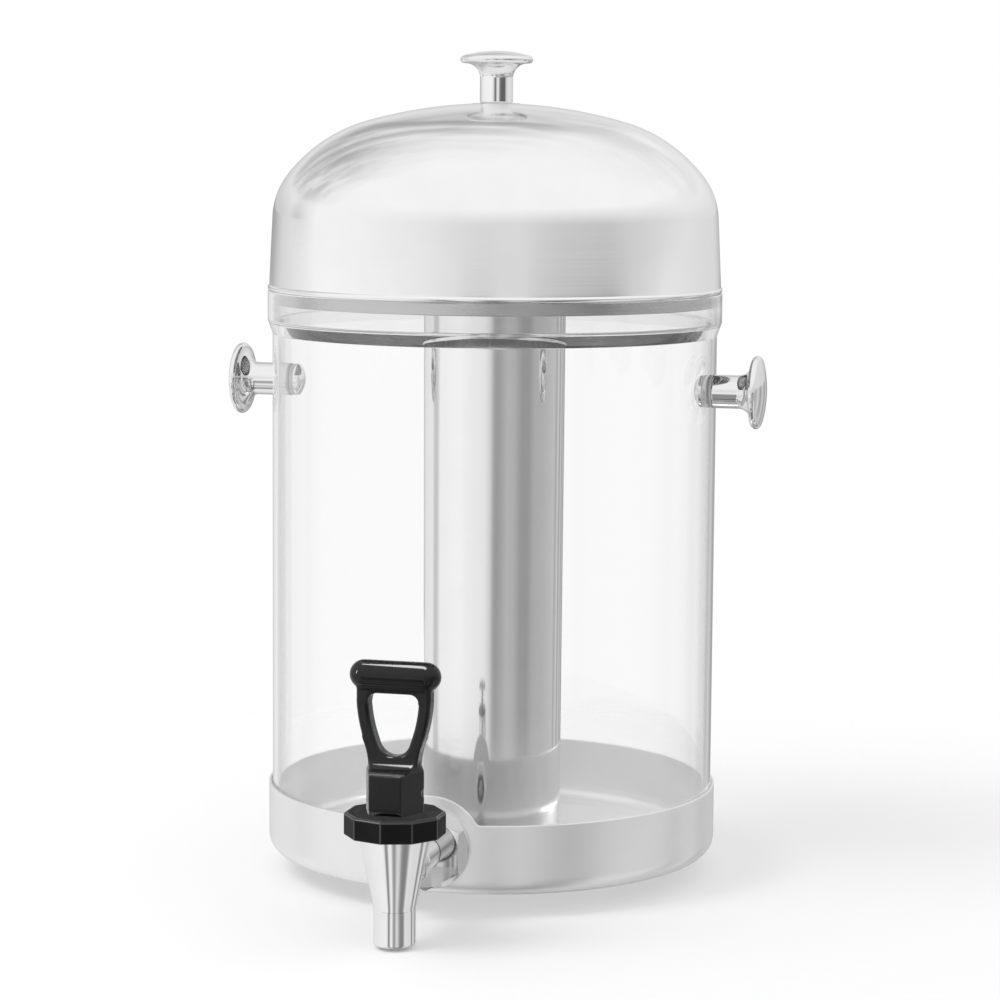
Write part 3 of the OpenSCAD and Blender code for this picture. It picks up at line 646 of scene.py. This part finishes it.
# Knobs
def knob_section(height, head_r):
    """A turned knob about +Z: screw bore, neck, flare, rim and domed face."""
    rim_x = head_r - KNOB_RIM_R
    rim_z = height - KNOB_DOME_H
    under = rim_z - KNOB_RIM_R
    face_r = (rim_x**2 + KNOB_DOME_H**2 - KNOB_RIM_R**2) / (2 * (KNOB_DOME_H - KNOB_RIM_R))
    face = math.degrees(math.asin(rim_x / (face_r - KNOB_RIM_R)))
    bore = SCREW_R + KNOB_BORE_GAP
    return (
        [(0, KNOB_BORE_L), (bore, KNOB_BORE_L)]
        + rounded([(bore, KNOB_BORE_L, 0), (bore, 0, 0.4 * MM), (KNOB_NECK_R, 0, 0.8 * MM),
                   (KNOB_NECK_R, under - KNOB_FLARE_R, 0)])[1:]
        + arc((KNOB_NECK_R + KNOB_FLARE_R, under - KNOB_FLARE_R), KNOB_FLARE_R, 180, 90)[1:]
        + arc((rim_x, rim_z), KNOB_RIM_R, -90, 90 - face, 14)
        + arc((0, height - face_r), face_r, 90 - face, 90, 20)[1:-1]
        + [(0, height)]
    )


def make_knobs():
    """The same turned knob on the lid and on both sides of the tank."""
    for node, body, axis in (("lid_knob", "lid", UP), ("left_handle", "tank", Vector((-1, 0, 0))),
                             ("right_handle", "tank", Vector((1, 0, 0)))):
        low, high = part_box(node)
        along = max(range(3), key=lambda k: abs(axis[k]))
        foot = (low + high) / 2
        foot[along] = low[along] if axis[along] > 0 else high[along]
        height = high[along] - low[along]
        head_r = (high[along - 1] - low[along - 1]) / 2
        mesh = turned(knob_section(height, head_r), turns=128)
        mesh.transform(Matrix.Translation(foot) @ UP.rotation_difference(axis).to_matrix().to_4x4())
        piece("chrome_" + node, mesh, CHROME, body, "chrome", node)


# Tap
def threaded(radius, length, turns=72, per_pitch=6):
    """A screw thread about +Z from 0 to a length, as one helical ridge that runs out at both ends."""
    rows = int(length / THREAD_PITCH * per_pitch)

    def section(angle):
        points = []
        for i in range(rows + 1):
            z = length * i / rows
            phase = (z / THREAD_PITCH - angle / (2 * math.pi)) % 1.0
            ridge = 1 - abs(2 * phase - 1)
            fade = min(1.0, z / THREAD_PITCH, (length - z) / THREAD_PITCH)
            points.append((radius - THREAD_DEPTH * (1 - ridge) * fade, z))
        return points

    return turned(section, turns=turns)


def make_tap_body():
    """The cone with its spout and valve seat, and the threaded shank that holds it."""
    low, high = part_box("tap_body")
    spread = (CONE_TOP_R - SPOUT_R) / (CONE_TOP - CONE_END)
    seat_in = SPOUT_R + spread * (SEAT_Z - CONE_END) - CONE_WALL
    body = turned(rounded([
        (SPOUT_BORE_R, low.z, 0.8 * MM),
        (SPOUT_R, low.z, 1.2 * MM),
        (SPOUT_R, CONE_END, 6 * MM),
        (CONE_TOP_R, CONE_TOP - SEAT_LIFT, 0.4 * MM),
        (BODY_COLLAR_R, CONE_TOP - SEAT_LIFT, 0),
        (BODY_COLLAR_R, high.z, 0.4 * MM),
        (CHAMBER_R, high.z, 0.4 * MM),
        (CHAMBER_R, CONE_TOP, 0),
        (seat_in, SEAT_Z, 0.5 * MM),
        (SEAT_HOLE_R, SEAT_Z, 0.3 * MM),
        (SEAT_HOLE_R, SEAT_Z - SEAT_T, 0.3 * MM),
        (SPOUT_BORE_R, SEAT_Z - SEAT_T, 0.3 * MM),
    ], closed=True), closed=True, turns=128)
    body.transform(Matrix.Translation((0, TAP_Y, 0)))
    run = high.y - TAP_Y
    boss = turned(rounded([
        (SHANK_BORE_R, SHANK_START, 0),
        (SHANK_BOSS_R, SHANK_START, 0),
        (SHANK_BOSS_R, BOSS_THREAD_Z, 0.6 * MM),
        (SHANK_BOSS_R - THREAD_DEPTH, BOSS_THREAD_Z, 0),
    ]), turns=96)
    boss_thread = threaded(SHANK_BOSS_R, SHANK_BOSS_L - BOSS_THREAD_Z, turns=96)
    boss_thread.transform(Matrix.Translation((0, 0, BOSS_THREAD_Z)))
    boss_end = turned([(SHANK_BOSS_R, SHANK_BOSS_L), (SHANK_R - THREAD_DEPTH, SHANK_BOSS_L)], turns=96)
    thread = threaded(SHANK_R, run - SHANK_BOSS_L)
    thread.transform(Matrix.Translation((0, 0, SHANK_BOSS_L)))
    bore = turned([(SHANK_R, run), (SHANK_BORE_R, run), (SHANK_BORE_R, SHANK_BORE_START)], turns=72)
    shank = joined(boss, boss_thread, boss_end, thread, bore)
    shank.transform(Matrix.Translation((0, TAP_Y, TAP_Z)) @ Matrix.Rotation(-math.pi / 2, 4, "X"))
    tap = piece("chrome_tap_body", joined(body, shank), CHROME, "tank", "chrome", "tap_body")

    def on_thread(centre, _):
        across = math.hypot(centre.x, centre.z - TAP_Z)
        return centre.y > TAP_Y + BOSS_THREAD_Z and across > SHANK_BORE_R + BORE_MARGIN

    second_material(tap, THREAD_CHROME, on_thread)


def clean_copy(node):
    """A CAD node's mesh with its corners welded and its flat faces whole."""
    mesh = bmesh.new()
    mesh.from_mesh(nodes[node].data)
    bmesh.ops.remove_doubles(mesh, verts=mesh.verts, dist=WELD_GAP)
    bmesh.ops.dissolve_limit(mesh, angle_limit=math.radians(FLAT_ANGLE), verts=mesh.verts,
                             edges=mesh.edges)
    return mesh


def softened(name, node, material, body, slot, radius, edges=None):
    """A CAD piece with its sharp edges rounded, and an edge material that paints a highlight on them.
    """
    obj = piece(name, clean_copy(node), material, body, slot, node)
    bevel = obj.modifiers.new("round_edges", "BEVEL")
    bevel.width = radius
    bevel.segments = 3
    bevel.limit_method = "ANGLE"
    bevel.angle_limit = math.radians(BEVEL_FROM)
    bevel.use_clamp_overlap = True
    bevel.harden_normals = False
    if edges:
        obj.data.materials.append(edges)
        bevel.material = 1
    obj.modifiers.move(1, 0)
    return obj


def make_lever():
    """The lever as one moulding: the solid's edges flow into each other, most at shoulder and bar."""
    low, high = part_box("tap_handle")
    foot_top = low.z + LEVER_FOOT_H
    bar_low = high.z - 2 * GRIP_R
    rough = bpy.data.objects.new("rough", bpy.data.meshes.new("rough"))
    mesh = clean_copy("tap_handle")
    mesh.to_mesh(rough.data)
    mesh.free()
    bpy.context.scene.collection.objects.link(rough)
    remesh = rough.modifiers.new("moulding", "REMESH")
    remesh.mode = "VOXEL"
    remesh.voxel_size = LEVER_VOXEL
    bpy.context.view_layer.update()
    moulded = rough.evaluated_get(bpy.context.evaluated_depsgraph_get())
    dense = bpy.data.meshes.new_from_object(moulded)
    bpy.data.objects.remove(rough)
    mesh = bmesh.new()
    mesh.from_mesh(dense)
    bpy.data.meshes.remove(dense)

    def between(start, stop):
        return [v for v in mesh.verts if start < v.co.z < stop]

    shoulder = between(foot_top + LEVER_FOOT_EDGE, foot_top + 2 * LEVER_SHOULDER_H)
    neck = between(bar_low - LEVER_NECK_BELOW, bar_low + LEVER_NECK_ABOVE)
    for group, passes in ((mesh.verts, 3), (shoulder, 5), (neck, 14), (mesh.verts, 1)):
        for _ in range(passes):
            bmesh.ops.smooth_vert(mesh, verts=group, factor=0.5, use_axis_x=True, use_axis_y=True,
                                  use_axis_z=True)
    obj = piece("black_lever", mesh, BLACK, "lever", "black_plastic", "tap_handle", sharp=180,
                even=False)
    obj.visible_glossy = False
    return obj


def make_spring():
    """The valve's spring, a copy of the CAD coil with a mesh of its own."""
    spring = piece("steel_spring", clean_copy("tap_spring"), SPRING, "tank", "spring_steel",
                   "tap_spring", sharp=180, even=False)
    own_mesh(spring)


make_container()
tray = make_tray()
make_tube()
make_lid()
make_knobs()
make_tap_body()
make_spring()
lever = make_lever()
# The bonnet's rounded edges take the lighter edge material, a painted highlight.
bonnet = softened("black_bonnet", "tap_bonnet", MATTE_BLACK, "tank", "black_plastic", 0.45 * MM,
                  EDGE_HIGHLIGHT_BLACK)
bonnet.visible_glossy = False
softened("chrome_lock_nut", "tap_lock_nut", NUT_CHROME, "tank", "chrome", 0.4 * MM)
softened("chrome_saddle_washer", "tap_saddle_washer", CHROME, "tank", "chrome", 0.35 * MM)
softened("steel_inner_nut", "tap_inner_nut", SATIN, "tank", "satin_steel", 0.3 * MM)

# CAD nodes that show as they are
KEPT = {
    "handle_screws": CHROME,
    "handle_seals": GREY_RUBBER,
    "tap_inner_gasket": SILICONE,
    "bonnet_gasket": SILICONE,
    "tap_stem": SATIN,
    "tap_seat_cup": SILICONE,
    "tap_pivot_pin": PIN_STEEL,
    "ice_tube_base": SATIN,
    "ice_tube_foot": SILICONE,
    "lid_knob_washer": SATIN,
    "lid_knob_screw": CHROME,
}
for node, material in KEPT.items():
    nodes[node].data.materials.clear()
    nodes[node].data.materials.append(material)


# Stage: a low plinth keeps the spout clear of the floor
PLINTH_R = 60 * MM
SPOUT_CLEAR = 1.6 * MM
FLOOR_Z = cad_low.z - SPOUT_CLEAR
FLOOR_R = 550 * MM
FLOOR_FADE = (240 * MM, 500 * MM)
FLOOR_WHITE = 0.12
WORLD_FILL = 0.8


def stage_object(name, mesh, material):
    """A new object of the stage, which is no piece of the part."""
    data = bpy.data.meshes.new(name)
    mesh.to_mesh(data)
    mesh.free()
    data.materials.append(material)
    obj = bpy.data.objects.new(name, data)
    bpy.context.scene.collection.objects.link(obj)
    return obj


def floor_material():
    """White paper that fades into the white background away from the object."""
    s = Shader("floor_paper")
    far = s.add("ShaderNodeVectorMath", {"operation": "LENGTH"})
    s.put(far, "0", s.place())
    paper = s.add("ShaderNodeBsdfDiffuse")
    paper.inputs["Color"].default_value = (0.95, 0.95, 0.95, 1)
    path = s.add("ShaderNodeLightPath")
    seen = s.math("MAXIMUM", path.outputs["Is Camera Ray"], path.outputs["Is Transmission Ray"])
    white = s.add("ShaderNodeEmission", Strength=s.math("MULTIPLY", seen, FLOOR_WHITE))
    both = s.add("ShaderNodeAddShader")
    s.put(both, "0", paper.outputs[0])
    s.put(both, "1", white.outputs[0])
    below = s.add("ShaderNodeNewGeometry").outputs["Backfacing"]
    gone = s.math("MAXIMUM", s.span(far.outputs["Value"], *FLOOR_FADE, 0.0, 1.0), below)
    nothing = s.add("ShaderNodeBsdfTransparent")
    return s.done(s.mix(gone, both.outputs[0], nothing.outputs[0]))


def make_floor():
    """Floor and plinth, which only the camera and the clear plastic see."""
    mesh = bmesh.new()
    bmesh.ops.create_circle(mesh, cap_ends=True, segments=96, radius=FLOOR_R,
                            matrix=Matrix.Translation((0, 0, FLOOR_Z)))
    paper = floor_material()
    floor = stage_object("floor", mesh, paper)
    mesh = turned(rounded([(PLINTH_R, FLOOR_Z, 0), (PLINTH_R, tray_low.z - SEAT_LIFT, 1 * MM),
                           (0, tray_low.z - SEAT_LIFT, 0)]), turns=128)
    plinth = stage_object("plinth", mesh, paper)
    for obj in (floor, plinth):
        obj.visible_glossy = False
        obj.visible_diffuse = False
        obj.visible_shadow = False


# What the metal mirrors: a wide studio tent, bright on the left and grey at the front right. A band
# gives its brightness by the angle round Z from the side of the photograph, in degrees. The bands
# follow each other by the angle of rise, and a pair of angles says where one runs into the next
TENT_R = 40.0
FLOOR_LEVEL = 0.6
LEVEL_BAND = [
    (-180, 0.4), (-170, 0.45), (-160, 0.7), (-148, 0.85), (-120, 0.92), (-115, 0.64), (-107, 0.6),
    (-99, 0.98), (-60, 1.05), (-40, 0.98), (-14, 0.93), (-6, 0.74), (0, 0.42), (5, 0.36),
    (12, 0.42), (22, 0.53), (33, 0.5), (46, 0.35), (58, 0.34), (70, 0.46), (90, 0.5), (118, 0.6),
    (124, 0.42), (131, 0.72), (137, 0.36), (144, 0.7), (150, 0.34), (156, 0.66), (163, 0.32),
    (180, 0.36),
]
KNOB_BAND = [
    (-180, 0.3), (-156, 0.45), (-140, 0.72), (-100, 1.0), (-34, 1.05), (-20, 0.8), (-12, 0.25),
    (-4, 0.2), (3, 0.85), (14, 0.9), (22, 0.3), (34, 0.14), (60, 0.14), (72, 0.7), (95, 0.9),
    (122, 0.8), (150, 0.74), (168, 0.5), (180, 0.3),
]
DOME_BAND = [
    (-180, 0.6), (-161, 0.62), (-144, 0.66), (-132, 0.76), (-123, 0.64), (-112, 0.86),
    (-104, 1.0), (-75, 0.97), (-50, 0.9), (-28, 0.83), (-8, 0.77), (13, 0.74), (34, 0.65),
    (56, 0.62), (81, 0.7), (113, 0.81), (135, 0.79), (156, 0.76), (180, 0.6),
]
SPOUT_BAND = [
    (-180, 0.5), (-168, 0.5), (-156, 0.85), (-90, 0.95), (-48, 1.0), (-38, 0.9), (-33, 0.3),
    (-27, 0.32), (-20, 0.95), (-13, 0.95), (-5, 0.38), (2, 0.36), (10, 0.74), (18, 0.74),
    (28, 0.34), (38, 0.24), (50, 0.3), (60, 0.85), (80, 0.8), (100, 0.8), (106, 0.3), (114, 0.34),
    (120, 0.8), (131, 0.75), (137, 0.28), (146, 0.34), (152, 0.7), (158, 0.6), (165, 0.3),
    (180, 0.3),
]
KNOB_RISE = (-2.4, -1.6)
DOME_RISE = (1.2, 1.9)
OPEN_RISE = (3.4, 26.0)
SPOUT_RISE = (-13.4, -14.3)
FLOOR_GLOW = [(-20, 0.95), (-14, 0.95), (-12.3, 0.9), (-11.6, 0.2), (-11, 0.0), (-5, 0.0)]
UNDER_GREY = [
    (-90, 0.3), (-62, 0.3), (-55, 0.9), (-52, 0.9), (-50, 0.4), (-47, 0.4), (-44, 1.0),
    (-30, 1.0), (-28, 0.8), (-21, 0.8), (-19, 1.0), (0, 1.0),
]
UNDER_SIDE = [(-180, 0.0), (-85, 0.0), (-65, 1.0), (65, 1.0), (85, 0.0), (180, 0.0)]
BACK_SHARE = [
    (-180, 1.0), (-140, 0.95), (-115, 0.6), (-92, 0.0), (100, 0.0), (130, 0.2), (160, 0.4),
    (180, 1.0),
]
BACK_RISE = [(0, 0.0), (14, 0.0), (18, 0.8), (23, 1.0), (42, 1.0), (60, 0.3), (90, 0.0)]


def tent_material():
    """The tent's glow, for mirrored rays alone."""
    s = Shader("studio_tent")
    ray = s.add("ShaderNodeVectorMath", {"operation": "NORMALIZE"})
    s.put(ray, "0", s.place())
    x, y, z = s.add("ShaderNodeSeparateXYZ", Vector=ray.outputs[0]).outputs
    turn = s.math("ARCTAN2", x, s.math("MULTIPLY", y, -1.0))
    around = s.math("DIVIDE", s.math("SUBTRACT", turn, math.radians(VIEW_TURN)), 2 * math.pi)
    around = s.math("WRAP", s.math("ADD", around, 0.5), 1.0, 0.0)
    rise = s.math("MULTIPLY", s.math("ARCSINE", z), 180 / math.pi)

    def band(stops):
        return s.ramp(around, [(0.5 + a / 360, v) for a, v in stops])

    def by_rise(stops):
        first, last = stops[0][0], stops[-1][0]
        share = s.span(rise, first, last, 0.0, 1.0)
        return s.ramp(share, [((a - first) / (last - first), v) for a, v in stops])

    def blend(a, b, share):
        left = s.math("MULTIPLY", a, s.math("SUBTRACT", 1.0, share))
        return s.math("ADD", left, s.math("MULTIPLY", b, share))

    streaks = s.noise(s.scaled(ray.outputs[0], (2.2, 7.0, 2.2)), scale=1.0, detail=4.0, roughness=0.6)
    dark = s.math("MULTIPLY", band(BACK_SHARE), by_rise(BACK_RISE))
    dark = s.math("MULTIPLY", dark, s.span(streaks, 0.4, 0.62, 0.58, 0.16))
    value = blend(band(LEVEL_BAND), FLOOR_LEVEL, by_rise(FLOOR_GLOW))
    for stops, limits in ((KNOB_BAND, KNOB_RISE), (DOME_BAND, DOME_RISE), (SPOUT_BAND, SPOUT_RISE)):
        value = blend(value, band(stops), s.span(rise, *limits, 0.0, 1.0))
    value = blend(value, s.math("SUBTRACT", 1.0, dark), s.span(rise, *OPEN_RISE, 0.0, 1.0))
    value = s.math("MULTIPLY", value, blend(1.0, by_rise(UNDER_GREY), band(UNDER_SIDE)))
    glow = s.add("ShaderNodeEmission", Strength=value)
    path = s.add("ShaderNodeLightPath")
    mirrored = s.math("GREATER_THAN", path.outputs["Glossy Depth"], 0.5)
    nothing = s.add("ShaderNodeBsdfTransparent")
    return s.done(s.mix(mirrored, nothing.outputs[0], glow.outputs[0]))


def make_tent():
    """A far sphere round the whole scene."""
    mesh = bmesh.new()
    bmesh.ops.create_uvsphere(mesh, u_segments=64, v_segments=32, radius=TENT_R)
    canvas = tent_material()
    canvas.cycles.emission_sampling = "NONE"
    tent = stage_object("studio_tent", mesh, canvas)
    tent.visible_camera = False
    tent.visible_diffuse = False
    tent.visible_shadow = False
    tent.visible_volume_scatter = False


def make_world():
    """White where the world is seen, and an even fill light elsewhere."""
    world = bpy.data.worlds.new("studio")
    bpy.context.scene.world = world
    world.use_nodes = True
    tree = world.node_tree
    tree.nodes.clear()
    path = tree.nodes.new("ShaderNodeLightPath")
    seen = path.outputs["Is Camera Ray"]
    for name in ("Is Glossy Ray", "Is Transmission Ray"):
        both = tree.nodes.new("ShaderNodeMath")
        both.operation = "MAXIMUM"
        tree.links.new(seen, both.inputs[0])
        tree.links.new(path.outputs[name], both.inputs[1])
        seen = both.outputs[0]
    fill = tree.nodes.new("ShaderNodeBackground")
    fill.inputs["Strength"].default_value = WORLD_FILL
    white = tree.nodes.new("ShaderNodeBackground")
    white.inputs["Strength"].default_value = 1.0
    for shade in (fill, white):
        shade.inputs["Color"].default_value = (1, 1, 1, 1)
    mix = tree.nodes.new("ShaderNodeMixShader")
    tree.links.new(seen, mix.inputs[0])
    tree.links.new(fill.outputs[0], mix.inputs[1])
    tree.links.new(white.outputs[0], mix.inputs[2])
    out = tree.nodes.new("ShaderNodeOutputWorld")
    tree.links.new(mix.outputs[0], out.inputs["Surface"])


def make_lamp(name, place, aim, size, power, only=()):
    """An area lamp; one with its own short list of objects lights and shows in those alone."""
    data = bpy.data.lights.new(name, "AREA")
    data.shape = "RECTANGLE"
    data.size, data.size_y = size
    data.energy = power
    lamp = bpy.data.objects.new(name, data)
    lamp.location = place
    lamp.rotation_mode = "QUATERNION"
    lamp.rotation_quaternion = (Vector(aim) - Vector(place)).to_track_quat("-Z", "Y")
    lamp.visible_camera = False
    lamp.visible_transmission = False
    lamp.visible_glossy = bool(only)
    if only:
        lit = bpy.data.collections.new(name + "_lit")
        for obj in only:
            lit.objects.link(obj)
        lamp.light_linking.receiver_collection = lit
    bpy.context.scene.collection.objects.link(lamp)


make_floor()
make_tent()
make_world()
make_lamp("key", place=(-0.9, -0.8, 1.45), aim=(0, 0, 0.15), size=(0.8, 0.8), power=8)
make_lamp("tap_top", place=(-0.02, -0.19, 0.28), aim=(0, -0.17, 0.12), size=(0.1, 0.045), power=0.3,
          only=(lever,))
make_lamp("tap_side", place=(-0.2, -0.33, 0.2), aim=(0, -0.165, 0.09), size=(0.025, 0.08), power=0.2,
          only=(lever, bonnet))
make_lamp("tray_fill", place=(0.045, 0.05, 0.075), aim=(0.045, 0.055, 0), size=(0.05, 0.05),
          power=0.035, only=(tray,))

cycles = bpy.context.scene.cycles
cycles.max_bounces = 20
cycles.glossy_bounces = 10
cycles.transmission_bounces = 16
cycles.transparent_max_bounces = 16
bpy.context.scene.view_settings.view_transform = "Standard"
